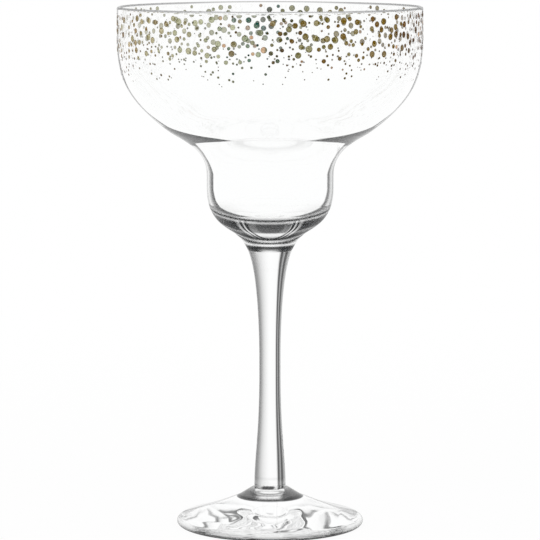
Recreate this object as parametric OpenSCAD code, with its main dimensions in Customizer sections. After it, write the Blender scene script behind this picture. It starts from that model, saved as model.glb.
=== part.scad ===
// Stemmed cocktail glass: a wide upper bowl drops into a narrow cup, on a drawn stem and a low conical foot.
// A band of fired lustre dots runs round the bowl under the rim.
// Millimetres, +Z up. The origin is on the table, under the middle of the foot.

/* [Foot] */
// Diameter of the foot
foot_diameter = 70; // [56:0.5:90]
// Height of the foot, up to the seam with the stem
foot_height = 14; // [10:0.1:20]
// Thickness of the foot's rounded edge
foot_edge = 3; // [1.6:0.1:5]
// Diameter at which the steep collar round the stem meets the wide cone
collar_diameter = 23.6; // [18:0.1:34]
// Height of that collar
collar_height = 3.2; // [1.5:0.1:5]
// Width of the ledge that the collar leaves round the stem's end
collar_ledge = 0.9; // [0.3:0.1:2]
// How far the wide cone sags below a straight line
cone_sag = 0.5; // [0:0.1:1.2]
// Rise of the hollow under the foot
hollow_rise = 3.4; // [1:0.1:5]
// Width of the flat ring that the glass stands on
resting_ring = 2.4; // [1:0.1:6]

/* [Stem] */
// Length of the stem from seam to seam
stem_length = 89.6; // [60:0.2:130]
// Diameter of the seam between the stem and the bowl
stem_top_diameter = 16.4; // [13:0.1:20]
// Lean of the stem's flare at that seam, in degrees from upright
stem_top_lean = 23.4; // [10:0.2:40]
// Diameter of the waist
waist_diameter = 7.9; // [6:0.1:11]
// Height of the waist's lower end above the foot's seam
waist_height = 43.4; // [25:0.1:52]
// Length of the even waist
waist_length = 5.4; // [0.5:0.1:12]
// Diameter of the stem's lower end
stem_foot_diameter = 11.8; // [9:0.1:15]
// Length of the straight lower end
stem_foot_straight = 1.7; // [0.5:0.1:8]

/* [Lower cup] */
// Outer diameter of the cup
cup_diameter = 47.2; // [38:0.1:60]
// Height of the cup's straight side above the bowl's seam
cup_side_height = 22.7; // [19:0.1:32]
// Length of the cup's straight side
cup_side_length = 6.1; // [1:0.1:16]
// Wall of the cup
cup_wall = 2.3; // [1.4:0.1:3.2]
// Thickness of the heavy base under the cup's floor
base_thickness = 12; // [10:0.1:16]
// Diameter where the round base turns into the stem's flare
base_diameter = 27.8; // [22:0.1:34]
// Height of that turn above the seam
base_height = 7; // [4.5:0.1:9]
// Lean of the wall at that turn, in degrees from upright
base_lean = 58.9; // [45:0.1:68]

/* [Upper bowl] */
// Outer diameter of the rim
rim_diameter = 113; // [96:0.5:130]
// Height from the bowl's seam to the top of the rim
bowl_height = 90.4; // [80:0.2:110]
// Length of the straight side under the rim
side_length = 12; // [4:0.1:24]
// Wall at the rim
rim_wall = 1.4; // [1:0.1:2.2]
// Diameter at the shoulder, where the bowl turns down into the cup
shoulder_diameter = 74.6; // [62:0.2:86]
// Height of the shoulder above the bowl's seam
shoulder_height = 44.2; // [40:0.1:52]
// Lean of the wall at the shoulder, in degrees from upright
shoulder_lean = 53.2; // [40:0.2:62]
// Wall at the shoulder
shoulder_wall = 2; // [1.4:0.1:3]

/* [Lustre dots] */
// Bare glass between the rim and the topmost dots
dot_margin = 1; // [0.8:0.1:4]
// Thickness of the fired lustre
dot_thickness = 0.06; // [0.04:0.01:0.12]
// Least bare glass between two dots
dot_gap = 0.2; // [0.1:0.05:1]
// Throws of the large dots; one that would touch an earlier dot is left out
large_throws = 300; // [20:1:400]
// Smallest radius of a large dot
large_least = 0.95; // [0.9:0.01:1.1]
// Greatest radius of a large dot
large_most = 1.25; // [1.15:0.01:1.5]
// Depth of the large dots' band below the rim
large_band = 17; // [10:0.1:22]
// Throws of the medium dots
medium_throws = 480; // [20:1:600]
// Smallest radius of a medium dot
medium_least = 0.6; // [0.55:0.01:0.7]
// Greatest radius of a medium dot
medium_most = 0.85; // [0.75:0.01:0.88]
// Depth of the medium dots' band below the rim
medium_band = 19; // [10:0.1:24]
// Throws of the small dots
small_throws = 480; // [20:1:600]
// Smallest radius of a small dot
small_least = 0.36; // [0.32:0.01:0.42]
// Greatest radius of a small dot
small_most = 0.5; // [0.45:0.01:0.52]
// Depth of the small dots' band below the rim
small_band = 25.5; // [12:0.1:29]
// Throws of the fine specks
fine_throws = 200; // [20:1:300]
// Smallest radius of a fine speck
fine_least = 0.2; // [0.16:0.01:0.22]
// Greatest radius of a fine speck
fine_most = 0.26; // [0.24:0.01:0.3]
// Depth of the fine specks' band below the rim
fine_band = 27; // [12:0.1:30]

/* [Hidden] */
$fn = 96;

// Seams between the three glass pieces
stem_seam = foot_height;
bowl_seam = foot_height + stem_length;
rim_top = bowl_seam + bowl_height;

// Steps along one curved stretch of a profile, and round the lip
curve_steps = 12;
lip_steps = 8;

// Bearing round the foot's edge where the cone runs into it
edge_start = 75;

// Fullness of each curve at its upper and lower end, as a share of its span
bowl_full = [0.38, 0.49];
shoulder_full = [0.15, 0.46];
cup_full = [0.61, 0.15];
base_full = [0.15, 0.49];
flare_full = [0.24, 0.17];
taper_full = [0.56, 0.21];
floor_full = [0.5, 0.55];

// A station is a place on a wall: radius, height, and lean from upright in degrees, drawing in downwards
function spot(s) = [s[0], s[1]];
function heading(s) = [-sin(s[2]), -cos(s[2])];
function inward(s, wall) = [s[0] - wall * cos(s[2]), s[1] + wall * sin(s[2]), s[2]];

// Cubic curve between two stations, with the poles that its fullness gives
function poles(a, b, full) =
    let (span = norm(spot(a) - spot(b)))
    [spot(a), spot(a) + full[0] * span * heading(a), spot(b) - full[1] * span * heading(b), spot(b)];
function on_curve(p, t) =
    pow(1 - t, 3) * p[0] + 3 * pow(1 - t, 2) * t * p[1] + 3 * (1 - t) * t * t * p[2] + pow(t, 3) * p[3];
function along_curve(p, t) =
    3 * pow(1 - t, 2) * (p[1] - p[0]) + 6 * (1 - t) * t * (p[2] - p[1]) + 3 * t * t * (p[3] - p[2]);
function curve(a, b, full) =
    let (p = poles(a, b, full))
    [for (i = [1 : curve_steps]) on_curve(p, i / curve_steps)];
function backwards(list) = [for (i = [len(list) - 1 : -1 : 0]) list[i]];

// Stations down the outside of the bowl
rim_edge = [rim_diameter / 2, rim_top - rim_wall / 2, 0];
side_end = [rim_diameter / 2, rim_top - side_length, 0];
shoulder = [shoulder_diameter / 2, bowl_seam + shoulder_height, shoulder_lean];
cup_top = [cup_diameter / 2, bowl_seam + cup_side_height + cup_side_length, 0];
cup_end = [cup_diameter / 2, bowl_seam + cup_side_height, 0];
base_turn = [base_diameter / 2, bowl_seam + base_height, base_lean];
bowl_end = [stem_top_diameter / 2, bowl_seam, stem_top_lean];
cup_floor = [0, bowl_seam + base_thickness, 90];

// Stations down the stem
waist_top = [waist_diameter / 2, stem_seam + waist_height + waist_length, 0];
waist_end = [waist_diameter / 2, stem_seam + waist_height, 0];
taper_end = [stem_foot_diameter / 2, stem_seam + stem_foot_straight, 0];

// Stations out along the foot
seat_radius = stem_foot_diameter / 2 + collar_ledge;
collar_end = [collar_diameter / 2, foot_height - collar_height];
edge_radius = foot_edge / 2;
edge_centre = [foot_diameter / 2 - edge_radius, edge_radius];
ring_inner = foot_diameter / 2 - edge_radius - resting_ring;

// Section of the bowl: lip, outside down to the seam, and inside up from the floor
bowl_lip = [for (i = [0 : lip_steps])
    let (bearing = 180 - 180 * i / lip_steps)
    spot(rim_edge) + rim_wall / 2 * [cos(bearing) - 1, sin(bearing)]];
side_wall = concat([spot(side_end)], curve(side_end, shoulder, bowl_full));
bowl_outside = concat(side_wall, curve(shoulder, cup_top, shoulder_full), [spot(cup_end)],
    curve(cup_end, base_turn, cup_full), curve(base_turn, bowl_end, base_full));
bowl_inside = concat([spot(inward(side_end, rim_wall))],
    curve(inward(side_end, rim_wall), inward(shoulder, shoulder_wall), bowl_full),
    curve(inward(shoulder, shoulder_wall), inward(cup_top, cup_wall), shoulder_full),
    [spot(inward(cup_end, cup_wall))], curve(inward(cup_end, cup_wall), cup_floor, floor_full));
bowl_section = concat(bowl_lip, bowl_outside, [[0, bowl_seam]], backwards(bowl_inside));

// Section of the stem, from the seam with the bowl down to the foot
stem_section = concat([[0, bowl_seam], spot(bowl_end)], curve(bowl_end, waist_top, flare_full),
    [spot(waist_end)], curve(waist_end, taper_end, taper_full),
    [[stem_foot_diameter / 2, stem_seam], [0, stem_seam]]);

// Section of the foot: seat and collar, sagging cone, round edge, resting ring and hollow
edge_arc = [for (i = [0 : lip_steps])
    let (bearing = edge_start - (edge_start + 90) * i / lip_steps)
    edge_centre + edge_radius * [cos(bearing), sin(bearing)]];
cone_fall = atan2(collar_end[1] - edge_arc[0][1], edge_arc[0][0] - collar_end[0]);
cone_line = [for (i = [1 : curve_steps - 1])
    collar_end + i / curve_steps * (edge_arc[0] - collar_end)
    - cone_sag * sin(180 * i / curve_steps) * [sin(cone_fall), cos(cone_fall)]];
hollow_line = [for (i = [0 : curve_steps])
    [ring_inner * (1 - i / curve_steps), hollow_rise * pow(sin(90 * i / curve_steps), 2)]];
foot_section = concat([[0, foot_height], [seat_radius, foot_height], collar_end], cone_line, edge_arc,
    hollow_line);

// The bowl's outer wall at a given drop below the rim, as a station
function curve_place(p, height, low = 0, high = 1, halvings = 24) =
    let (mid = (low + high) / 2)
    halvings == 0 ? mid
    : on_curve(p, mid)[1] > height ? curve_place(p, height, mid, high, halvings - 1)
    : curve_place(p, height, low, mid, halvings - 1);
function wall_station(drop) =
    drop <= side_length ? [rim_diameter / 2, rim_top - drop, 0]
    : let (p = poles(side_end, shoulder, bowl_full), t = curve_place(p, rim_top - drop),
        place = on_curve(p, t), way = along_curve(p, t))
    [place[0], place[1], atan2(-way[0], -way[1])];

// A dot is its bearing in degrees, its drop below the rim and its radius; the throws are random but fixed.
// A crowding below 1 sends more of the dots to the lower end of their band.
even_crowding = 1;
small_crowding = 0.75;
fine_crowding = 0.7;
large_seed = 11;
medium_seed = 21;
small_seed = 31;
fine_seed = 41;
function throws(count, least, most, band, crowding, seed) =
    let (bearing = rands(0, 360, count, seed), share = rands(0, 1, count, seed + 1),
        radius = rands(least, most, count, seed + 2))
    [for (i = [0 : count - 1])
        let (room = band - dot_margin - 2 * radius[i])
        [bearing[i], dot_margin + radius[i] + room * pow(share[i], crowding), radius[i]]];
function bearing_gap(a, b) = abs((a - b + 540) % 360 - 180);
function touches(a, b) =
    norm([bearing_gap(a[0], b[0]) * PI / 180 * rim_diameter / 2, a[1] - b[1]]) < a[2] + b[2] + dot_gap;
function first_touch(dot, placed, i = 0) =
    i == len(placed) ? false : touches(dot, placed[i]) ? true : first_touch(dot, placed, i + 1);
function settle(thrown, placed, i = 0) =
    i == len(thrown) ? placed
    : settle(thrown, first_touch(thrown[i], placed) ? placed : concat(placed, [thrown[i]]), i + 1);
function newest(all, earlier) = [for (i = [len(earlier) : len(all) - 1]) all[i]];

// Each size of dot settles among the larger ones
function settled_large() =
    settle(throws(large_throws, large_least, large_most, large_band, even_crowding, large_seed), []);
function settled_medium() =
    settle(throws(medium_throws, medium_least, medium_most, medium_band, even_crowding, medium_seed),
        settled_large());
function settled_small() =
    settle(throws(small_throws, small_least, small_most, small_band, small_crowding, small_seed),
        settled_medium());
function settled_fine() =
    settle(throws(fine_throws, fine_least, fine_most, fine_band, fine_crowding, fine_seed), settled_small());

// A thin disc of lustre for each dot, flat against the wall
module lustre(dots) {
    for (dot = dots) {
        wall = wall_station(dot[1]);
        rotate([0, 0, dot[0]])
            translate([wall[0], 0, wall[1]])
                rotate([0, 90 + wall[2], 0])
                    cylinder(h = dot_thickness, r = dot[2], $fn = 24);
    }
}

module foot() {
    color([0.93, 0.95, 0.95, 0.4]) rotate_extrude() polygon(foot_section);
}

module stem() {
    color([0.92, 0.94, 0.95, 0.4]) rotate_extrude() polygon(stem_section);
}

module bowl() {
    color([0.94, 0.96, 0.96, 0.4]) rotate_extrude() polygon(bowl_section);
}

module large_dots() {
    color([0.55, 0.57, 0.45]) lustre(settled_large());
}

module medium_dots() {
    color([0.5, 0.52, 0.42]) lustre(newest(settled_medium(), settled_large()));
}

module small_dots() {
    color([0.45, 0.46, 0.4]) lustre(newest(settled_small(), settled_medium()));
}

module fine_dots() {
    color([0.42, 0.43, 0.4]) lustre(newest(settled_fine(), settled_small()));
}

foot();
stem();
bowl();
large_dots();
medium_dots();
small_dots();
fine_dots();
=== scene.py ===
import bisect
import math
import random

import bmesh
import bpy
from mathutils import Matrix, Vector


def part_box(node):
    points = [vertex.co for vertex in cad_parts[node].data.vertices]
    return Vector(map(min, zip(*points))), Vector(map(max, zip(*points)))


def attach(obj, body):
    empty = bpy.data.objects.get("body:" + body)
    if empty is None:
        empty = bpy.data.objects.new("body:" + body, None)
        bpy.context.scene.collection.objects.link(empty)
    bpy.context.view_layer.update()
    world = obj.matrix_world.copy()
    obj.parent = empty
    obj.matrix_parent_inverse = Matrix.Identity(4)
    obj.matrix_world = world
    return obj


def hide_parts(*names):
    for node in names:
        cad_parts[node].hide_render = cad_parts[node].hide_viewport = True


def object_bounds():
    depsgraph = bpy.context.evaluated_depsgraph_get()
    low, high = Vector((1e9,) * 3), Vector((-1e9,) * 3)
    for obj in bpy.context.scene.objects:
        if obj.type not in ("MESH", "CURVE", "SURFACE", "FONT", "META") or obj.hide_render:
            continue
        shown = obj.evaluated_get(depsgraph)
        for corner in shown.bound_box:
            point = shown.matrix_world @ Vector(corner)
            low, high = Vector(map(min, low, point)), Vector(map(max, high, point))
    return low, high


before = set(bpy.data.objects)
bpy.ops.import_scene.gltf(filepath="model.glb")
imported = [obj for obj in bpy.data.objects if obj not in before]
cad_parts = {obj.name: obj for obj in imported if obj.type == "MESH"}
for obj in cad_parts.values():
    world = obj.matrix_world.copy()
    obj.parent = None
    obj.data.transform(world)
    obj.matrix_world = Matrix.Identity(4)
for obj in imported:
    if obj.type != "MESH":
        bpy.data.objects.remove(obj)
cadLow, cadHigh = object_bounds()
print("frame loaded:", ", ".join(sorted(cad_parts)))

mm = 0.001
heightSpan = 200.0  # mm; what follows the height is set from the table up to here
hair = 1e-6  # mm; less than this counts as nothing
turnedEdge = 50.0  # degrees between faces from which a turned piece shows an edge
white = (1.0, 1.0, 1.0, 1.0)
scene = bpy.context.scene


class Wire:  # a node's output that takes part in Python arithmetic
    def __init__(self, board, socket):
        self.board = board
        self.socket = socket

    def maths(self, operation, first, second):
        return self.board.add("ShaderNodeMath", {"operation": operation}, {0: first, 1: second})

    def __add__(self, other):
        return self.maths("ADD", self, other)

    def __sub__(self, other):
        return self.maths("SUBTRACT", self, other)

    def __rsub__(self, other):
        return self.maths("SUBTRACT", other, self)

    def __mul__(self, other):
        return self.maths("MULTIPLY", self, other)

    def __truediv__(self, other):
        return self.maths("DIVIDE", self, other)

    def __pow__(self, other):
        return self.maths("POWER", self, other)


class Board:  # a node tree that is being wired
    def __init__(self, owner):
        owner.use_nodes = True
        self.tree = owner.node_tree
        self.tree.nodes.clear()

    def add(self, kind, settings=None, values=None, out=0):
        node = self.tree.nodes.new(kind)
        for name, value in (settings or {}).items():
            if name == "stops":
                fillRamp(node.color_ramp, value)
            else:
                setattr(node, name, value)
        for name, value in (values or {}).items():
            if isinstance(value, Wire):
                self.tree.links.new(value.socket, node.inputs[name])
            else:
                node.inputs[name].default_value = value
        return Wire(self, node.outputs[out] if node.outputs else None)

    def step(self, value, low, high):  # soft step from 0 to 1
        return self.add("ShaderNodeMapRange", {"interpolation_type": "SMOOTHSTEP"},
                        {"Value": value, "From Min": low, "From Max": high})

    def blend(self, share, first, second):  # mix of two colours
        return self.add("ShaderNodeMix", {"data_type": "RGBA"}, {0: share, 6: first, 7: second}, out=2)


def fillRamp(ramp, stops):
    ramp.elements[0].position = stops[0][0]
    ramp.elements[1].position = stops[-1][0]
    for stop in stops[1:-1]:
        ramp.elements.new(stop[0])
    for element, (place, colour) in zip(ramp.elements, stops):
        element.color = (*colour, 1.0)


# Sections: a station is radius, height (mm) and lean from upright (degrees), drawing in downwards
def heading(station):
    lean = math.radians(station[2])
    return (-math.sin(lean), -math.cos(lean))


def inward(station, wall):
    lean = math.radians(station[2])
    return (station[0] - wall * math.cos(lean), station[1] + wall * math.sin(lean), station[2])


def curve(start, end, fullness, steps=60):
    span = math.hypot(start[0] - end[0], start[1] - end[1])
    out, back = heading(start), heading(end)
    poles = [
        start[:2],
        (start[0] + fullness[0] * span * out[0], start[1] + fullness[0] * span * out[1]),
        (end[0] - fullness[1] * span * back[0], end[1] - fullness[1] * span * back[1]),
        end[:2],
    ]
    points = []
    for i in range(1, steps + 1):
        t = i / steps
        weights = ((1 - t) ** 3, 3 * (1 - t) ** 2 * t, 3 * (1 - t) * t * t, t ** 3)
        points.append(tuple(sum(w * p[axis] for w, p in zip(weights, poles)) for axis in (0, 1)))
    return points


def evenly(points, spacing):  # the same line with points at even steps along it
    reach = [0.0]
    for a, b in zip(points, points[1:]):
        reach.append(reach[-1] + math.dist(a, b))
    count = max(2, round(reach[-1] / spacing))
    made = []
    for i in range(count + 1):
        want = reach[-1] * i / count
        k = min(max(bisect.bisect_left(reach, want), 1), len(points) - 1)
        share = (want - reach[k - 1]) / max(reach[k] - reach[k - 1], hair)
        made.append(tuple(a + share * (b - a) for a, b in zip(points[k - 1], points[k])))
    return made


def eased(points, passes):  # takes the sudden changes of bend out of a line, ends kept
    for _ in range(passes):
        points = [points[0]] + [
            tuple(0.25 * a + 0.5 * b + 0.25 * c for a, b, c in zip(*three))
            for three in zip(points, points[1:], points[2:])
        ] + [points[-1]]
    return points


def between(first, second, i, j):  # corners of a face between two rings; a ring may be one point
    corners = [first[i % len(first)], first[j % len(first)], second[j % len(second)], second[i % len(second)]]
    return list(dict.fromkeys(corners))


def lathe(name, bands, segments, wave):
    # bands: lists of (radius, height) that follow on, each with its material's number
    mesh = bmesh.new()
    rings = []
    skins = []
    for skin, points in bands:
        for point in points:
            if rings and point == rings[-1][0]:
                continue
            rings.append((point, []))
            skins.append(skin)
    for (radius, height), ring in rings:
        for i in range(segments if radius > hair else 1):
            angle = 2 * math.pi * i / segments
            grow, lift = wave(angle, radius, height) if radius > hair else (0, 0)
            ring.append(mesh.verts.new((
                (radius + grow) * mm * math.cos(angle),
                (radius + grow) * mm * math.sin(angle),
                (height + lift) * mm)))
    for k in range(1, len(rings)):
        upper, lower = rings[k - 1][1], rings[k][1]
        for i in range(segments):
            j = (i + 1) % segments
            face = mesh.faces.new(between(upper, lower, i, j))
            face.material_index = skins[k]
            face.smooth = True
    bmesh.ops.recalc_face_normals(mesh, faces=mesh.faces)
    data = bpy.data.meshes.new(name)
    mesh.to_mesh(data)
    mesh.free()
    data.set_sharp_from_angle(angle=math.radians(turnedEdge))
    piece = bpy.data.objects.new(name, data)
    scene.collection.objects.link(piece)
    return piece


def fade(value, low, high):  # soft step from 0 to 1
    t = min(max((value - low) / (high - low), 0.0), 1.0)
    return t * t * (3 - 2 * t)


def held(value, span):  # 1 inside the span, with soft ends: rises over the first two, falls over the last two
    return fade(value, *span[:2]) * (1 - fade(value, *span[2:]))


def swell(waves, angle, drift, turn=0.0):  # waves: lobes round the glass, size (mm), phase
    return sum(size * math.sin(lobes * (angle + turn) + phase + drift) for lobes, size, phase in waves)


# Clear glass: clear face on, with painted shade: dark lines painted into its colour by viewing angle and
# height, where its edges would bend and mirror dark surroundings against white
glassLook = {
    "body": (0.995, 0.998, 0.997, 1.0),
    "dark": (0.0002, 0.00025, 0.0003, 1.0),
    "shade": (0.02, 0.022, 0.024, 1.0),
    "ior": 1.5,
    "smudgeScale": 38.0,
    "smudgeDetail": 4.0,
    "smudgeOver": (0.45, 0.8),
    "smudgeRoughness": 0.02,
    "rippleScale": 90.0,
    "rippleDetail": 1.0,
    "rippleDepth": 0.0002,
    "striaeDetail": 2.0,
    "sideOver": (-0.25, 0.25),
    "shadowTint": (0.86, 0.87, 0.87, 1.0),
}


def byHeight(board, height, stops, column):  # a value that follows the height (mm)
    ramp = [(stop[0] / heightSpan, (stop[column],) * 3) for stop in stops]
    return board.add("ShaderNodeValToRGB", {"stops": ramp}, {0: height})


def byValue(board, value, stops):  # a number that follows another, from stops
    return board.add("ShaderNodeValToRGB", {"stops": [(x, (y, y, y)) for x, y in stops]}, {0: value})


def roundness(board):  # 0 in the middle of a round side and 1 at its edge, from above and below too
    normal = board.add("ShaderNodeNewGeometry", out="Normal")
    upright = (0.0, 0.0, 1.0)
    across = board.add("ShaderNodeVectorMath", {"operation": "CROSS_PRODUCT"}, {0: normal, 1: upright})
    across = board.add("ShaderNodeVectorMath", {"operation": "NORMALIZE"}, {0: across})
    offset = 1 - board.add("ShaderNodeLayerWeight", values={"Normal": across}, out="Facing")
    return 1 - (1 - offset * offset) ** 0.5


def paintedEdgeLines(board, place, look):
    # painted shade: the glass's colour is darkened in lines by viewing angle and height, standing in for dark
    # surroundings that the edges would bend and mirror; the striae noise only wobbles where these painted
    # lines start
    # edges: height (mm), facing where the edge's lines start, their strength, strength of aslant
    # left, right: how far past that start, how clear the glass is there
    # aslant: facing where light leaves the glass, how clear it is
    # rings: height (mm), how dark a ring is there and how clear; they climb towards the sides
    # nest: lines that lie inside each other, as left and right
    # shift: height (mm), how far the nested lines are drawn together, their strength
    height = board.add("ShaderNodeSeparateXYZ", values={0: place}, out="Z") / (heightSpan * mm)
    drawn = board.add("ShaderNodeVectorMath", {"operation": "MULTIPLY"}, {0: place, 1: look["striaeScale"]})
    striae = board.add("ShaderNodeTexNoise", values={
        "Vector": drawn, "Scale": 1.0, "Detail": glassLook["striaeDetail"]})
    facing = board.add("ShaderNodeLayerWeight", out="Facing")
    turned = roundness(board) if look["round"] else facing
    starts = byHeight(board, height, look["edges"], 1) + (striae - 0.5) * look["striae"]
    reach = (turned - starts) / (1 - starts)
    nested = reach + byHeight(board, height, look["shift"], 1)
    normal = board.add("ShaderNodeTexCoord", out="Normal")
    # painted shade: the left and right sides of the glass, told apart by which way the surface faces across
    # it, get different painted dark lines
    side = board.step(board.add("ShaderNodeSeparateXYZ", values={0: normal}, out="X"), *glassLook["sideOver"])
    left = byValue(board, nested, look["left"])
    right = byValue(board, nested, look["right"])
    paintedLines = 1 - (1 - (left + (right - left) * side)) * byHeight(board, height, look["edges"], 2)
    climbing = board.step(height * heightSpan, *look["climbOver"])
    climbed = height - reach * climbing * (look["climb"] / heightSpan)
    ring = 1 - byHeight(board, climbed, look["rings"], 1)
    nest = 1 - (1 - byValue(board, nested, look["nest"])) * byHeight(board, height, look["shift"], 2)
    seen = paintedLines * ring * nest
    entering = seen + (1 - seen) * byHeight(board, climbed, look["rings"], 2)
    aslant = byValue(board, facing, look["aslant"])
    going = 1 - (1 - aslant) * byHeight(board, height, look["edges"], 3)
    leaving = board.add("ShaderNodeNewGeometry", out="Backfacing")
    passed = entering + (going - entering) * leaving
    # the shader takes the root of its colour at each crossing
    colour = board.blend(passed * passed, glassLook["dark"], glassLook["body"])
    return colour, (1 - entering) * (1 - leaving)


def clearGlass(name, look):  # a look without edges is clear all over
    common = glassLook
    material = bpy.data.materials.new(name)
    board = Board(material)
    place = board.add("ShaderNodeTexCoord", out="Object")
    smudge = board.add("ShaderNodeTexNoise", values={
        "Vector": place, "Scale": common["smudgeScale"], "Detail": common["smudgeDetail"]})
    roughness = board.step(smudge, *common["smudgeOver"]) * common["smudgeRoughness"]
    ripple = board.add("ShaderNodeTexNoise", values={
        "Vector": place, "Scale": common["rippleScale"], "Detail": common["rippleDetail"]})
    bump = board.add("ShaderNodeBump", values={
        "Height": ripple, "Strength": look["ripple"], "Distance": common["rippleDepth"]})
    colour, paintedLines = paintedEdgeLines(board, place, look) if look["edges"] else (common["body"], None)
    glass = board.add("ShaderNodeBsdfPrincipled", values={
        "Base Color": colour,
        "Roughness": roughness,
        "IOR": common["ior"],
        "Transmission Weight": 1.0,
        "Normal": bump,
    })
    if look["deepen"]:  # painted shade: where the painted dark lines lie, the glass is mixed with a dark see-through shader, so it mirrors less of the white room
        shade = board.add("ShaderNodeBsdfTransparent", values={"Color": common["shade"]})
        glass = board.add("ShaderNodeMixShader", values={0: paintedLines * look["deepen"], 1: glass, 2: shade})
    passing = board.add("ShaderNodeBsdfTransparent", values={"Color": common["shadowTint"]})
    shadowRay = board.add("ShaderNodeLightPath", out="Is Shadow Ray")
    both = board.add("ShaderNodeMixShader", values={0: shadowRay, 1: glass, 2: passing})
    board.add("ShaderNodeOutputMaterial", values={"Surface": both})
    return material


def fusedSeam(name):  # where two pieces of glass were joined hot, nothing shows
    material = bpy.data.materials.new(name)
    board = Board(material)
    seam = board.add("ShaderNodeBsdfPrincipled", values={"Alpha": 0.0, "IOR": 1.0, "Roughness": 0.0})
    board.add("ShaderNodeOutputMaterial", values={"Surface": seam})
    return material


seamMaterial = fusedSeam("fusedSeam")


def dress(piece, node, materials):
    for material in materials:
        piece.data.materials.append(material)
    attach(piece, "root")
    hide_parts(node)


# Bowl: a wide upper bowl that drops into a narrow cup with a heavy base
bowlShape = {
    "rimWall": 1.4,
    "shoulderWall": 2.0,
    "cupWall": 2.3,
    "sideEnd": (56.5, 182.0, 0.0),
    "shoulder": (37.3, 147.8, 53.2),
    "cupTop": (23.6, 132.4, 0.0),
    "cupEnd": (23.6, 126.3, 0.0),
    "baseTurn": (13.9, 110.6, 58.9),
    "seam": (8.2, 103.6, 23.4),
    "floor": (0.0, 115.6, 90.0),
    "bowlFullness": (0.38, 0.49),
    "shoulderFullness": (0.15, 0.46),
    "cupFullness": (0.61, 0.15),
    "baseFullness": (0.15, 0.49),
    "floorFullness": (0.5, 0.55),
    "spacing": 0.6,
    "easing": 10,
    "segments": 192,
    "lipSteps": 14,
    "waves": ((3, 0.05, 0.9), (5, 0.03, 2.1), (8, 0.012, 4.4)),
    "waveOver": (104.0, 114.0, 150.0, 166.0),
    "waveDrift": 0.05,
    "insideTurn": 1.7,
    "insideFrom": 115.0,
    "wallFrom": 116.0,
    "insideNear": 0.7,
    "collarTop": 109.0,
    "shoulderFrom": 143.6,
    "shoulderTop": 150.6,
    "baseTop": 121.0,
}
# where and how dark the painted shade lines lie on each part of the glass, by height
bowlOuterLook = {
    "edges": ((120.0, 0.42, 1.0, 0.0), (123.0, 0.50, 1.0, 0.0), (127.0, 0.54, 1.0, 0.0),
              (133.0, 0.54, 1.0, 0.0), (139.0, 0.72, 0.9, 0.0), (144.5, 0.80, 0.9, 0.0),
              (147.2, 0.56, 0.95, 0.0), (150.5, 0.80, 0.9, 0.0), (156.0, 0.88, 0.8, 0.0),
              (163.0, 0.87, 0.95, 0.0), (168.0, 0.85, 1.0, 0.0), (176.0, 0.86, 0.9, 0.0),
              (192.0, 0.86, 0.8, 0.0)),
    "left": ((0.0, 1.0), (0.05, 0.08), (0.17, 0.15), (0.35, 0.55), (0.47, 0.9), (0.6, 0.55), (1.0, 0.4)),
    "right": ((0.0, 1.0), (0.09, 0.12), (0.2, 0.25), (0.27, 0.55), (0.42, 0.7), (0.58, 0.25), (0.8, 0.4),
              (1.0, 0.4)),
    "nest": ((0.0, 1.0), (1.0, 1.0)),
    "shift": ((0.0, 0.0, 0.0), (200.0, 0.0, 0.0)),
    "rings": ((0.0, 0.0, 0.0), (200.0, 0.0, 0.0)),
    "climb": 0.0,
    "climbOver": (105.5, 109.5),
    "round": False,
    "aslant": ((0.0, 1.0), (0.08, 1.0), (0.14, 0.6), (0.19, 0.25), (0.25, 0.12)),
    "striaeScale": (40.0, 40.0, 12.0),
    "striae": 0.012,
    "ripple": 0.006,
    "deepen": 0.0,
}
shoulderLook = dict(
    bowlOuterLook,
    left=((0.0, 1.0), (0.05, 0.03), (0.35, 0.05), (0.6, 0.12), (0.85, 0.35), (1.0, 0.5)),
    right=((0.0, 1.0), (0.09, 0.05), (0.35, 0.06), (0.6, 0.16), (0.85, 0.4), (1.0, 0.5)),
    deepen=0.35,
)
upperLook = dict(bowlOuterLook, deepen=0.5)
bowlInnerLook = dict(bowlOuterLook, edges=None)
lipLine = ((0.0, 1.0), (0.08, 0.95), (0.2, 0.5), (0.5, 0.35), (1.0, 0.3))
lipLook = dict(
    bowlOuterLook,
    edges=((103.6, 0.0, 0.8, 0.0), (194.0, 0.0, 0.8, 0.0)),
    left=lipLine,
    right=lipLine,
    deepen=0.3,
)
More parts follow.
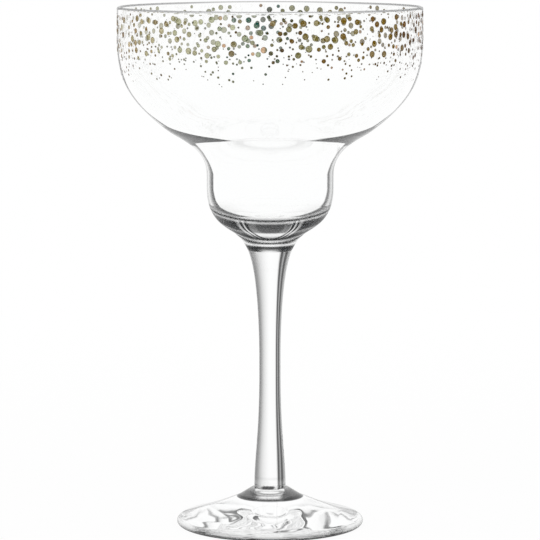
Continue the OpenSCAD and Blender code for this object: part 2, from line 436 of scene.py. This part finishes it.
baseLook = dict(
    bowlOuterLook,
    edges=((109.0, 0.0, 0.0, 0.2), (111.3, 0.0, 0.0, 0.2), (111.7, 0.0, 1.0, 0.2), (115.5, 0.0, 1.0, 0.2),
           (115.8, 0.0, 0.2, 0.2), (116.8, 0.0, 0.2, 0.2), (117.3, 0.0, 0.9, 0.1), (121.0, 0.0, 0.9, 0.0)),
    left=((0.0, 0.2), (0.035, 0.2), (0.045, 0.38), (0.093, 0.4), (0.102, 1.0), (0.55, 1.0), (0.60, 0.2),
          (0.68, 0.2), (0.76, 0.38), (0.88, 0.42), (1.0, 0.25)),
    right=((0.0, 0.18), (0.035, 0.18), (0.045, 0.38), (0.085, 0.34), (0.093, 1.0), (0.57, 1.0), (0.63, 0.2),
           (0.7, 0.28), (0.78, 0.42), (0.9, 0.38), (1.0, 0.25)),
    nest=((0.0, 1.0), (0.093, 1.0), (0.102, 0.0), (0.122, 0.0), (0.13, 1.0), (0.142, 1.0), (0.15, 0.0),
          (0.17, 0.0), (0.182, 0.85), (0.215, 0.6), (0.23, 0.0), (0.35, 0.0), (0.45, 0.05), (0.7, 0.06),
          (1.0, 0.25)),
    shift=((108.6, 0.115, 1.0), (109.2, 0.09, 1.0), (110.0, 0.053, 1.0), (111.0, 0.027, 1.0),
           (112.0, 0.01, 1.0), (113.0, 0.0, 1.0), (115.4, 0.0, 1.0), (115.9, 0.0, 0.75), (116.9, 0.0, 0.75),
           (117.2, 0.11, 0.3), (117.8, 0.5, 0.0), (118.1, 0.55, 0.0), (118.4, 0.46, 0.0), (119.0, 0.36, 0.0),
           (120.3, 0.226, 0.0), (121.0, 0.15, 0.0)),
    rings=((107.2, 1.0, 0.0), (107.4, 0.0, 0.95), (107.75, 0.0, 0.95), (107.95, 1.0, 0.0), (108.75, 1.0, 0.0),
           (109.2, 0.6, 0.0), (109.9, 0.0, 0.0), (110.4, 0.0, 0.4), (111.3, 0.0, 0.4), (111.6, 0.0, 0.0),
           (115.3, 0.5, 0.0), (115.5, 0.6, 0.0), (115.7, 0.0, 0.9), (116.15, 0.0, 0.9), (116.35, 1.0, 0.0),
           (116.95, 1.0, 0.0), (117.2, 0.1, 0.4), (117.9, 0.0, 0.0)),
    climb=3.5,
    round=True,
    striae=0.015,
    deepen=0.6,
)
collarLook = dict(
    baseLook,
    edges=((103.6, 0.0, 0.9, 0.0), (105.2, 0.0, 1.0, 0.1), (109.0, 0.0, 1.0, 0.2)),
    left=((0.0, 0.95), (0.045, 0.8), (0.11, 0.3), (0.17, 0.04), (0.24, 0.02), (0.35, 0.08), (0.62, 0.12),
          (1.0, 0.35)),
    right=((0.0, 0.95), (0.045, 0.7), (0.11, 0.2), (0.15, 0.03), (0.24, 0.01), (0.35, 0.06), (0.62, 0.12),
           (1.0, 0.35)),
    nest=bowlOuterLook["nest"],
    shift=bowlOuterLook["shift"],
    rings=((104.1, 0.0, 0.0), (104.5, 0.5, 0.0), (104.9, 0.75, 0.0), (105.1, 1.0, 0.0), (105.5, 1.0, 0.0),
           (105.75, 0.0, 0.9), (106.3, 0.0, 0.95), (106.55, 1.0, 0.0), (107.2, 1.0, 0.0), (107.4, 0.0, 0.95),
           (107.75, 0.0, 0.95), (107.95, 1.0, 0.0), (108.75, 1.0, 0.0), (109.2, 0.6, 0.0)),
)


def bowlOutside():  # from the rim's edge down to the seam with the stem
    s = bowlShape
    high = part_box("bowl")[1]
    rim = (high.x / mm, high.z / mm - s["rimWall"] / 2)
    points = [rim, s["sideEnd"][:2]]
    points += curve(s["sideEnd"], s["shoulder"], s["bowlFullness"])
    points += curve(s["shoulder"], s["cupTop"], s["shoulderFullness"])
    points += [s["cupEnd"][:2]]
    points += curve(s["cupEnd"], s["baseTurn"], s["cupFullness"])
    points += curve(s["baseTurn"], s["seam"], s["baseFullness"])
    return eased(evenly(points, s["spacing"]), s["easing"])


def bowlInside():  # from the rim's inner edge down to the middle of the cup's floor
    s = bowlShape
    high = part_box("bowl")[1]
    sideEnd = inward(s["sideEnd"], s["rimWall"])
    shoulder = inward(s["shoulder"], s["shoulderWall"])
    cupTop = inward(s["cupTop"], s["cupWall"])
    cupEnd = inward(s["cupEnd"], s["cupWall"])
    points = [(sideEnd[0], high.z / mm - s["rimWall"] / 2), sideEnd[:2]]
    points += curve(sideEnd, shoulder, s["bowlFullness"])
    points += curve(shoulder, cupTop, s["shoulderFullness"])
    points += [cupEnd[:2]]
    points += curve(cupEnd, s["floor"], s["floorFullness"])
    return eased(evenly(points, s["spacing"]), s["easing"])


def bowlLip(outer):  # the rounded rim, outside to inside
    radius = bowlShape["rimWall"] / 2
    points = []
    for i in range(1, bowlShape["lipSteps"]):
        bearing = math.pi * i / bowlShape["lipSteps"]
        points.append((outer[0] - radius + radius * math.cos(bearing), outer[1] + radius * math.sin(bearing)))
    return points


outerWall = bowlOutside()
innerWall = bowlInside()
seamRing = outerWall[-1]


def bowlWave(angle, radius, height):  # the waves inside are out of step with those outside
    s = bowlShape
    wall = min(innerWall, key=lambda p: abs(p[1] - height))[0] if height > s["wallFrom"] else 0.0
    inside = height > s["insideFrom"] and abs(radius - wall) < s["insideNear"]
    grow = swell(s["waves"], angle, s["waveDrift"] * height, s["insideTurn"] if inside else 0.0)
    return grow * held(height, s["waveOver"]), 0.0


def outerBand(over, upTo):  # the outer wall between two heights, from below
    return [point for point in outerWall[::-1] if over < point[1] <= upTo]


bowl = lathe("bowlGlass", [
    (1, [(0.0, seamRing[1]), seamRing]),
    (5, outerBand(0.0, bowlShape["collarTop"])),
    (4, outerBand(bowlShape["collarTop"], bowlShape["baseTop"])),
    (0, outerBand(bowlShape["baseTop"], bowlShape["shoulderFrom"])),
    (6, outerBand(bowlShape["shoulderFrom"], bowlShape["shoulderTop"])),
    (7, outerBand(bowlShape["shoulderTop"], heightSpan)),
    (3, bowlLip(outerWall[0]) + innerWall[:1]),
    (2, innerWall[1:]),
], bowlShape["segments"], bowlWave)
dress(bowl, "bowl", [
    clearGlass("bowlOuterGlass", bowlOuterLook),
    seamMaterial,
    clearGlass("bowlInnerGlass", bowlInnerLook),
    clearGlass("lipGlass", lipLook),
    clearGlass("baseGlass", baseLook),
    clearGlass("collarGlass", collarLook),
    clearGlass("shoulderGlass", shoulderLook),
    clearGlass("upperGlass", upperLook),
])
print("bowl turned:", len(bowl.data.polygons), "faces")

# Stem: drawn from the bowl's base, slim at the waist and stouter at the foot
stemShape = {
    "waistTop": (3.95, 62.8, 0.0),
    "waistEnd": (3.95, 57.4, 0.0),
    "taperEnd": (5.9, 15.7, 0.0),
    "flareFullness": (0.24, 0.17),
    "taperFullness": (0.56, 0.21),
    "spacing": 0.8,
    "easing": 10,
    "segments": 128,
    "waves": ((2, 0.05, 0.4), (3, 0.03, 1.9), (5, 0.008, 3.0)),
    "waveOver": (16.0, 30.0, 86.0, 102.0),
    "waveDrift": 0.03,
}
stemLook = dict(
    bowlOuterLook,
    edges=((14.0, 0.0, 1.0, 0.0), (200.0, 0.0, 1.0, 0.0)),
    rings=((14.0, 0.3, 0.0), (14.7, 0.3, 0.0), (15.0, 0.0, 0.1), (16.8, 0.0, 0.1), (17.4, 0.0, 0.0),
           (17.8, 0.15, 0.0), (18.4, 0.0, 0.0)),
    left=((0.0, 1.0), (0.05, 0.9), (0.18, 0.66), (0.32, 0.4), (0.45, 0.26), (0.62, 0.16), (0.75, 0.3),
          (1.0, 0.5)),
    right=((0.0, 1.0), (0.09, 0.97), (0.12, 0.6), (0.145, 0.08), (0.19, 0.08), (0.235, 0.36), (0.275, 0.36),
           (0.315, 0.06), (0.40, 0.06), (0.46, 0.28), (0.62, 0.4), (1.0, 0.6)),
    round=True,
    striaeScale=(220.0, 220.0, 5.0),
    striae=0.05,
)


def stemSide():
    s = stemShape
    points = [seamRing] + curve(bowlShape["seam"], s["waistTop"], s["flareFullness"])
    points += [s["waistEnd"][:2]]
    points += curve(s["waistEnd"], s["taperEnd"], s["taperFullness"])
    points += [(s["taperEnd"][0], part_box("stem")[0].z / mm)]
    return eased(evenly(points, s["spacing"]), s["easing"])


def stemWave(angle, radius, height):
    s = stemShape
    return swell(s["waves"], angle, s["waveDrift"] * height) * held(height, s["waveOver"]), 0.0


stemLine = stemSide()
stemFoot = stemLine[-1]
stem = lathe("stemGlass", [
    (1, [(0.0, stemLine[0][1]), stemLine[0]]),
    (0, stemLine),
    (1, [(0.0, stemFoot[1])]),
], stemShape["segments"], stemWave)
dress(stem, "stem", [clearGlass("stemGlass", stemLook), seamMaterial])
print("stem turned:", len(stem.data.polygons), "faces")

# Foot: a low cone with a collar under the stem and a shallow hollow underneath
footShape = {
    "seatRadius": 6.8,
    "seatEnd": 10.4,
    "collarEnd": (11.8, 10.8),
    "coneSag": 0.5,
    "edgeRadius": 1.5,
    "edgeStart": 75.0,
    "ringInner": 31.1,
    "hollowRise": 3.4,
    "spacing": 0.4,
    "easing": 3,
    "segments": 192,
    "edgeSteps": 24,
    "coneSteps": 40,
    "hollowSteps": 60,
    "topFrom": 1.1,       # times the hollow's rise
    "topWaves": ((4, 0.05, 0.3), (7, 0.03, 2.6), (11, 0.012, 1.2)),
    "topOver": (12.5, 17.0, 29.5, 32.5),
    "hollowWaves": ((3, 0.14, 1.1), (5, 0.10, 0.2), (9, 0.04, 3.3)),
    "hollowOver": (11.0, 20.0, 26.0, 30.8),
    "waveDrift": 0.16,
    "deepest": -0.6,      # times the height, so that the hollow stays above the table
}
footTopLook = dict(
    bowlOuterLook,
    edges=((0.0, 0.86, 0.8, 1.0), (2.2, 0.86, 0.8, 1.0), (3.2, 0.86, 0.3, 1.0), (heightSpan, 0.86, 0.3, 1.0)),
    rings=((0.0, 1.0, 0.0), (0.7, 0.9, 0.0), (1.1, 0.5, 0.0), (1.8, 0.2, 0.0), (2.8, 0.0, 0.0)),
    aslant=((0.0, 1.0), (0.10, 1.0), (0.115, 0.03), (0.155, 0.03), (0.17, 1.0)),
    ripple=0.02,
    deepen=0.5,
)
hollowLook = dict(
    footTopLook,
    edges=((0.0, 0.9, 0.0, 0.85), (2.4, 0.9, 0.0, 0.85), (2.9, 0.9, 0.0, 0.0), (heightSpan, 0.9, 0.0, 0.0)),
    rings=bowlOuterLook["rings"],
    aslant=((0.0, 1.0), (0.205, 1.0), (0.23, 0.08), (0.253, 0.08), (0.258, 1.0)),
    deepen=0.0,
)
seatLook = dict(
    footTopLook,
    edges=((10.4, 0.02, 0.6, 0.0), (10.9, 0.02, 1.0, 0.0), (12.2, 0.0, 1.0, 0.0), (12.9, 0.10, 0.95, 0.0),
           (13.5, 0.28, 0.9, 0.0), (14.0, 0.34, 0.8, 0.0)),
    rings=((10.4, 0.0, 0.0), (10.55, 1.0, 0.0), (11.1, 1.0, 0.0), (11.35, 0.0, 0.0), (12.1, 0.0, 0.0),
           (12.3, 0.3, 0.0), (12.6, 0.0, 0.0)),
    left=((0.0, 0.95), (0.04, 0.90), (0.09, 0.5), (0.14, 0.2), (0.2, 0.15), (0.4, 0.17), (0.8, 0.12),
          (1.0, 0.3)),
    right=((0.0, 0.95), (0.03, 0.90), (0.08, 0.4), (0.12, 0.15), (0.2, 0.12), (0.4, 0.14), (0.8, 0.1),
           (1.0, 0.3)),
    round=True,
    striaeScale=(300.0, 300.0, 300.0),
    striae=0.12,
    deepen=0.15,
)


def footTop():  # from the stem's seam over the collar and cone, round the edge
    s = footShape
    low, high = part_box("foot")
    edgeCentre = (high.x / mm - s["edgeRadius"], low.z / mm + s["edgeRadius"])
    arc = []
    for i in range(s["edgeSteps"] + 1):
        bearing = math.radians(s["edgeStart"] - (s["edgeStart"] + 90) * i / s["edgeSteps"])
        arc.append((edgeCentre[0] + s["edgeRadius"] * math.cos(bearing),
                    edgeCentre[1] + s["edgeRadius"] * math.sin(bearing)))
    start = s["collarEnd"]
    fall = math.atan2(start[1] - arc[0][1], arc[0][0] - start[0])
    cone = []
    for i in range(1, s["coneSteps"]):
        t = i / s["coneSteps"]
        sag = s["coneSag"] * math.sin(math.pi * t)
        cone.append((start[0] + t * (arc[0][0] - start[0]) - sag * math.sin(fall),
                     start[1] + t * (arc[0][1] - start[1]) - sag * math.cos(fall)))
    points = [stemFoot, (s["seatRadius"], stemFoot[1]), start] + cone + arc
    return eased(evenly(points, s["spacing"]), s["easing"])


def footHollow():
    s = footShape
    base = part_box("foot")[0].z / mm
    points = []
    for i in range(s["hollowSteps"] + 1):
        t = i / s["hollowSteps"]
        points.append((s["ringInner"] * (1 - t), base + s["hollowRise"] * math.sin(math.pi / 2 * t) ** 2))
    return evenly(points, s["spacing"])


def footWave(angle, radius, height):
    s = footShape
    onCone = height > s["hollowRise"] * s["topFrom"]
    side = "top" if onCone or (radius > s["ringInner"] and height > s["edgeRadius"]) else "hollow"
    lift = swell(s[side + "Waves"], angle, s["waveDrift"] * radius) * held(radius, s[side + "Over"])
    return 0.0, max(lift, s["deepest"] * height)


footOuter = footTop()
foot = lathe("footGlass", [
    (1, [(0.0, stemFoot[1]), footOuter[0]]),
    (3, [point for point in footOuter if point[1] > footShape["seatEnd"]]),
    (0, [point for point in footOuter if point[1] <= footShape["seatEnd"]]),
    (2, footHollow()),
], footShape["segments"], footWave)
dress(foot, "foot", [
    clearGlass("footTopGlass", footTopLook),
    seamMaterial,
    clearGlass("footHollowGlass", hollowLook),
    clearGlass("seatGlass", seatLook),
])
print("foot turned:", len(foot.data.polygons), "faces")

# Lustre dots: thin fired-on discs that follow the bowl's outer wall, in four sizes
dotShape = {
    "lift": 0.01,        # mm between the glass and the film's underside
    # share of the radius, height (mm), from the middle of the underside to the middle of the top
    "profile": ((0.0, 0.0), (0.55, 0.0), (0.97, 0.0), (1.0, 0.01), (0.96, 0.024), (0.84, 0.036),
                (0.5, 0.045), (0.0, 0.047)),
    "underMark": 2.0,    # added to the share on the underside, where the film's material reads it
    "weld": 1e-6,        # m between points of a CAD disc that count as one
    "edgeFrom": 60.0,
    "wobble": 0.03,
    "corners": {"large_dots": 28, "medium_dots": 20, "small_dots": 14, "fine_dots": 10},
    "seed": 417,
}
dotColours = {
    # across the glass from left to right: the film from outside, and seen through the glass; the change along
    # this line is partly the film's own colour and partly painted reflection, with the teal and near-black
    # middle standing for dark surroundings mirrored in the lustre
    "outside": ((0.0, (0.30, 0.12, 0.025)), (0.06, (0.40, 0.21, 0.06)), (0.2, (0.36, 0.36, 0.23)),
                (0.38, (0.31, 0.36, 0.25)), (0.45, (0.005, 0.17, 0.15)), (0.51, (0.012, 0.022, 0.02)),
                (0.58, (0.19, 0.16, 0.04)), (0.8, (0.23, 0.13, 0.004)), (0.92, (0.17, 0.085, 0.003)),
                (1.0, (0.08, 0.035, 0.005))),
    "through": ((0.0, (0.55, 0.36, 0.10)), (0.1, (0.54, 0.47, 0.24)), (0.38, (0.38, 0.48, 0.31)),
                (0.45, (0.01, 0.24, 0.20)), (0.52, (0.03, 0.08, 0.065)), (0.6, (0.30, 0.31, 0.08)),
                (0.75, (0.45, 0.30, 0.005)), (1.0, (0.33, 0.15, 0.002))),
    "coverThin": ((0.0, 0.30), (0.1, 0.20), (0.36, 0.19), (0.46, 0.55), (0.54, 0.52), (0.62, 0.40),
                  (0.85, 0.52), (1.0, 0.62)),
    "coverThick": ((0.0, 0.66), (0.1, 0.54), (0.36, 0.54), (0.46, 0.95), (0.54, 0.92), (0.62, 0.80),
                   (1.0, 0.92)),
    "depthBy": {"tone": 0.7, "rim": 0.5, "cloud": 0.35, "darkening": 0.5},
    "hueSpread": 0.16,
    "stain": (0.825, 0.82, 0.70, 1.0),     # what light takes on that passes through the film
    "peach": (0.80, 0.50, 0.32, 1.0),
    "peachShare": ((0.0, 0.04), (0.42, 0.03), (0.47, 0.14), (0.53, 0.14), (0.58, 0.02), (1.0, 0.03)),
    "peachOver": (0.99, 1.01),
    "bronze": (0.20, 0.085, 0.012, 1.0),
    "bronzeShare": 0.85,
    "bronzeOver": (0.6, 1.0),
    "rim": (0.045, 0.027, 0.006, 1.0),
    "rimShare": 0.7,
    "rimOver": (0.74, 0.98),
    "underOver": (1.4, 1.6),
    "fineCover": 0.92,
    "metal": 0.45,
    "mirror": 0.1,
    "edgeTint": (0.40, 0.25, 0.09, 1.0),   # what the film mirrors when seen along the wall
    "coat": 0.03,
    "coatRoughness": 0.12,
    "roughness": (0.22, 0.42),
    "cloudScale": 900.0,
    "cloudDetail": 3.0,
    "grainScale": 2600.0,
    "grainDetail": 2.0,
    "grainStrength": 0.15,
    "grainDepth": 0.00002,
}
fineDarkening = {"large_dots": 0.0, "medium_dots": 0.1, "small_dots": 0.5, "fine_dots": 0.7}

wallReach = [0.0]
for upper, lower in zip(outerWall, outerWall[1:]):
    wallReach.append(wallReach[-1] + math.dist(upper, lower))


def towards(a, b):  # direction from one point of a section to another
    return ((b[0] - a[0]) / math.dist(a, b), (b[1] - a[1]) / math.dist(a, b))


def wallPlace(reach):  # radius, height and outward normal at a distance down the wall
    k = min(max(bisect.bisect_left(wallReach, reach), 1), len(outerWall) - 1)
    a, b = outerWall[k - 1], outerWall[k]
    share = (reach - wallReach[k - 1]) / (wallReach[k] - wallReach[k - 1])
    along = towards(a, b)
    return a[0] + share * (b[0] - a[0]), a[1] + share * (b[1] - a[1]), (-along[1], along[0])


def nearestReach(radius, height):  # distance down the wall of the place nearest to a point
    k = min(range(len(outerWall)), key=lambda i: math.dist(outerWall[i], (radius, height)))
    along = towards(outerWall[max(k - 1, 0)], outerWall[min(k + 1, len(outerWall) - 1)])
    return wallReach[k] + (radius - outerWall[k][0]) * along[0] + (height - outerWall[k][1]) * along[1]


def cadDots(node):  # bearing, distance down the wall and radius (mm) of each disc of a CAD node
    mesh = bmesh.new()
    mesh.from_mesh(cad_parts[node].data)
    bmesh.ops.remove_doubles(mesh, verts=mesh.verts, dist=dotShape["weld"])
    dots = []
    seen = set()
    for first in mesh.verts:
        if first in seen:
            continue
        seen.add(first)
        island = [first]
        for vert in island:
            for link in vert.link_edges:
                other = link.other_vert(vert)
                if other not in seen:
                    seen.add(other)
                    island.append(other)
        centre = sum((vert.co for vert in island), Vector()) / len(island)
        bearing = math.atan2(centre.y, centre.x)
        reach = nearestReach(math.hypot(centre.x, centre.y) / mm, centre.z / mm)
        normal = wallPlace(reach)[2]
        out = Vector((normal[0] * math.cos(bearing), normal[0] * math.sin(bearing), normal[1]))
        size = max(((vert.co - centre) - (vert.co - centre).dot(out) * out).length for vert in island)
        dots.append((bearing, reach, size / mm))
    mesh.free()
    return sorted(dots)


def dotPiece(node, name):
    s = dotShape
    draw = random.Random(s["seed"] + len(node))
    corners = s["corners"][node]
    points, faces, marks = [], [], []
    dots = cadDots(node)
    for bearing, reach, size in dots:
        tone, hue = draw.random(), draw.random()
        lobe, turn = draw.uniform(0, s["wobble"]), draw.uniform(0, 2 * math.pi)
        rings = []
        for share, height in s["profile"]:
            ring = []
            for i in range(corners if share else 1):
                angle = 2 * math.pi * i / corners
                span = size * share * (1 - lobe * (1 + math.sin(2 * angle + turn)) / 2)
                radius, level, normal = wallPlace(reach - span * math.sin(angle))
                off = s["lift"] + height
                swing = bearing + span * math.cos(angle) / radius
                ring.append(len(points))
                points.append(((radius + off * normal[0]) * mm * math.cos(swing),
                               (radius + off * normal[0]) * mm * math.sin(swing),
                               (level + off * normal[1]) * mm))
                marks += [tone, hue, share + (s["underMark"] if height == 0.0 else 0.0)]
            rings.append(ring)
        for lower, upper in zip(rings, rings[1:]):
            for i in range(corners):
                j = (i + 1) % corners
                faces.append(between(lower, upper, i, j))
    data = bpy.data.meshes.new(name)
    data.from_pydata(points, [], faces)
    data.attributes.new("dotMark", "FLOAT_VECTOR", "POINT").data.foreach_set("vector", marks)
    shape = bmesh.new()
    shape.from_mesh(data)
    bmesh.ops.recalc_face_normals(shape, faces=shape.faces)
    shape.to_mesh(data)
    shape.free()
    data.shade_smooth()
    data.set_sharp_from_angle(angle=math.radians(s["edgeFrom"]))
    piece = bpy.data.objects.new(name, data)
    scene.collection.objects.link(piece)
    print(name + ":", len(dots), "dots")
    return piece


def lustreFilm(name, darkening):
    look = dotColours
    material = bpy.data.materials.new(name)
    board = Board(material)
    place = board.add("ShaderNodeTexCoord", out="Object")
    across = board.add("ShaderNodeSeparateXYZ", values={0: place}, out="X")
    mark = board.add("ShaderNodeAttribute", {"attribute_name": "dotMark"}, out="Vector")
    tone = board.add("ShaderNodeSeparateXYZ", values={0: mark}, out="X")
    hue = board.add("ShaderNodeSeparateXYZ", values={0: mark}, out="Y")
    # how far out on the disc, with the mark of the underside added there
    spread = board.add("ShaderNodeSeparateXYZ", values={0: mark}, out="Z")
    under = board.step(spread, *look["underOver"])
    # painted reflection: colour, cover and the share of peach dots follow the place across the glass, as the
    # lustre would mirror the room differently from left to right
    side = across / (cadHigh.x - cadLow.x) + 0.5 + (hue - 0.5) * look["hueSpread"]
    outside = board.add("ShaderNodeValToRGB", {"stops": look["outside"]}, {0: side})
    through = board.add("ShaderNodeValToRGB", {"stops": look["through"]}, {0: side})
    film = board.blend(under, outside, through)
    cloud = board.add("ShaderNodeTexNoise", values={
        "Vector": place, "Scale": look["cloudScale"], "Detail": look["cloudDetail"]})
    rim = board.step(spread - under * dotShape["underMark"], *look["rimOver"])
    peach = board.step(hue + byValue(board, side, look["peachShare"]), *look["peachOver"])
    deep = board.step(tone, *look["bronzeOver"]) * (1 - under) * look["bronzeShare"]
    colour = board.blend(peach, board.blend(deep, film, look["bronze"]), look["peach"])
    dark = rim * (look["rimShare"] * (1 - darkening)) + darkening
    colour = board.blend(dark, colour, look["rim"])
    by = look["depthBy"]
    depth = tone * by["tone"] + rim * by["rim"] + (cloud - 0.5) * by["cloud"] + darkening * by["darkening"]
    depth = board.add("ShaderNodeClamp", values={"Value": depth})
    thin = byValue(board, side, look["coverThin"])
    cover = thin + (byValue(board, side, look["coverThick"]) - thin) * depth
    cover = cover * (1 - darkening) + look["fineCover"] * darkening
    low, high = look["roughness"]
    roughness = cloud * (high - low) + low
    grain = board.add("ShaderNodeTexNoise", values={
        "Vector": place, "Scale": look["grainScale"], "Detail": look["grainDetail"]})
    bump = board.add("ShaderNodeBump", values={
        "Height": grain, "Strength": look["grainStrength"], "Distance": look["grainDepth"]})
    surface = board.add("ShaderNodeBsdfPrincipled", values={
        "Base Color": colour,
        "Metallic": look["metal"],
        "Roughness": roughness,
        "Specular IOR Level": look["mirror"],
        "Specular Tint": look["edgeTint"],
        "Coat Weight": look["coat"],
        "Coat Roughness": look["coatRoughness"],
        "Normal": bump,
    })
    stained = board.add("ShaderNodeBsdfTransparent", values={"Color": look["stain"]})
    both = board.add("ShaderNodeMixShader", values={0: cover, 1: stained, 2: surface})
    board.add("ShaderNodeOutputMaterial", values={"Surface": both})
    return material


for node, name in (("large_dots", "largeDots"), ("medium_dots", "mediumDots"),
                   ("small_dots", "smallDots"), ("fine_dots", "fineDots")):
    film = lustreFilm(name + "Film", fineDarkening[node])
    dress(dotPiece(node, name), node, [film])

# Floor: pale and wide, it glows white to the eye and keeps the glass's shadow near the foot
floorLook = {
    "radius": 14.0,
    "segments": 96,
    "gap": 0.00002,
    "pale": (0.9, 0.9, 0.9, 1.0),
    "glowNear": 0.95,
    "fadeOver": (0.12, 0.6),
}


def seenRay(board):  # 1 for what the eye meets directly, in a reflection or through glass
    path = board.add("ShaderNodeLightPath", out="Is Camera Ray")
    glossy = board.add("ShaderNodeLightPath", out="Is Glossy Ray")
    through = board.add("ShaderNodeLightPath", out="Is Transmission Ray")
    return board.add("ShaderNodeClamp", values={"Value": path + glossy + through})


def paleFloor():
    look = floorLook
    material = bpy.data.materials.new("paleFloor")
    board = Board(material)
    place = board.add("ShaderNodeTexCoord", out="Object")
    reach = board.add("ShaderNodeVectorMath", {"operation": "LENGTH"}, {0: place}, out="Value")
    far = board.step(reach, *look["fadeOver"])
    share = far * (1 - look["glowNear"]) + look["glowNear"]
    matt = board.add("ShaderNodeBsdfDiffuse", values={"Color": look["pale"]})
    glow = board.add("ShaderNodeEmission", values={"Color": white, "Strength": 1.0})
    both = board.add("ShaderNodeMixShader", values={0: share * seenRay(board), 1: matt, 2: glow})
    board.add("ShaderNodeOutputMaterial", values={"Surface": both})
    mesh = bmesh.new()
    bmesh.ops.create_circle(mesh, cap_ends=True, radius=look["radius"], segments=look["segments"])
    data = bpy.data.meshes.new("floor")
    mesh.to_mesh(data)
    mesh.free()
    floor = bpy.data.objects.new("floor", data)
    floor.location.z = cadLow.z - look["gap"]
    data.materials.append(material)
    scene.collection.objects.link(floor)


paleFloor()

# Studio: white all round, with soft lamps
studio = {
    "ambient": 0.55,
    "lamps": (
        # name, place, size, watts
        ("keySoftbox", (-0.9, -0.9, 1.1), (0.7, 0.7), 9.0),
        ("fillSoftbox", (1.1, -0.6, 0.8), (0.6, 0.9), 4.0),
        ("backSoftbox", (0.2, 1.2, 1.0), (0.9, 0.5), 5.0),
    ),
    "aim": (0.0, 0.0, 0.12),
}


def studioWorld():
    world = bpy.data.worlds.new("studio")
    scene.world = world
    board = Board(world)
    seen = seenRay(board)
    level = seen + (1 - seen) * studio["ambient"]
    back = board.add("ShaderNodeBackground", values={"Color": white, "Strength": level})
    board.add("ShaderNodeOutputWorld", values={"Surface": back})


def softLamps():
    for name, place, size, watts in studio["lamps"]:
        data = bpy.data.lights.new(name, "AREA")
        data.shape = "RECTANGLE"
        data.size, data.size_y = size
        data.energy = watts
        lamp = bpy.data.objects.new(name, data)
        lamp.location = place
        lamp.visible_glossy = False
        lamp.visible_transmission = False
        lamp.rotation_euler = (Vector(studio["aim"]) - Vector(place)).to_track_quat("-Z", "Y").to_euler()
        scene.collection.objects.link(lamp)


studioWorld()
softLamps()
print("studio lit")

# Camera: just above the rim, looking a little down
view = {"place": (0.0, -1.126, 0.2337), "down": 6.971, "lens": 202.9, "sensor": 36.0, "far": 100.0}
cameraData = bpy.data.cameras.new("camera")
cameraData.lens = view["lens"]
cameraData.sensor_width = view["sensor"]
cameraData.clip_end = view["far"]
camera = bpy.data.objects.new("camera", cameraData)
camera.location = view["place"]
camera.rotation_euler = (math.radians(90 - view["down"]), 0.0, 0.0)
scene.collection.objects.link(camera)
scene.camera = camera

# Light: it has to cross many walls of glass
crossings = {"bounces": 160, "transparent": 64}
scene.view_settings.view_transform = "Standard"
scene.cycles.max_bounces = crossings["bounces"]
scene.cycles.transmission_bounces = crossings["bounces"]
scene.cycles.glossy_bounces = crossings["bounces"]
scene.cycles.transparent_max_bounces = crossings["transparent"]
scene.cycles.caustics_reflective = False
scene.cycles.caustics_refractive = False
scene.cycles.use_denoising = True
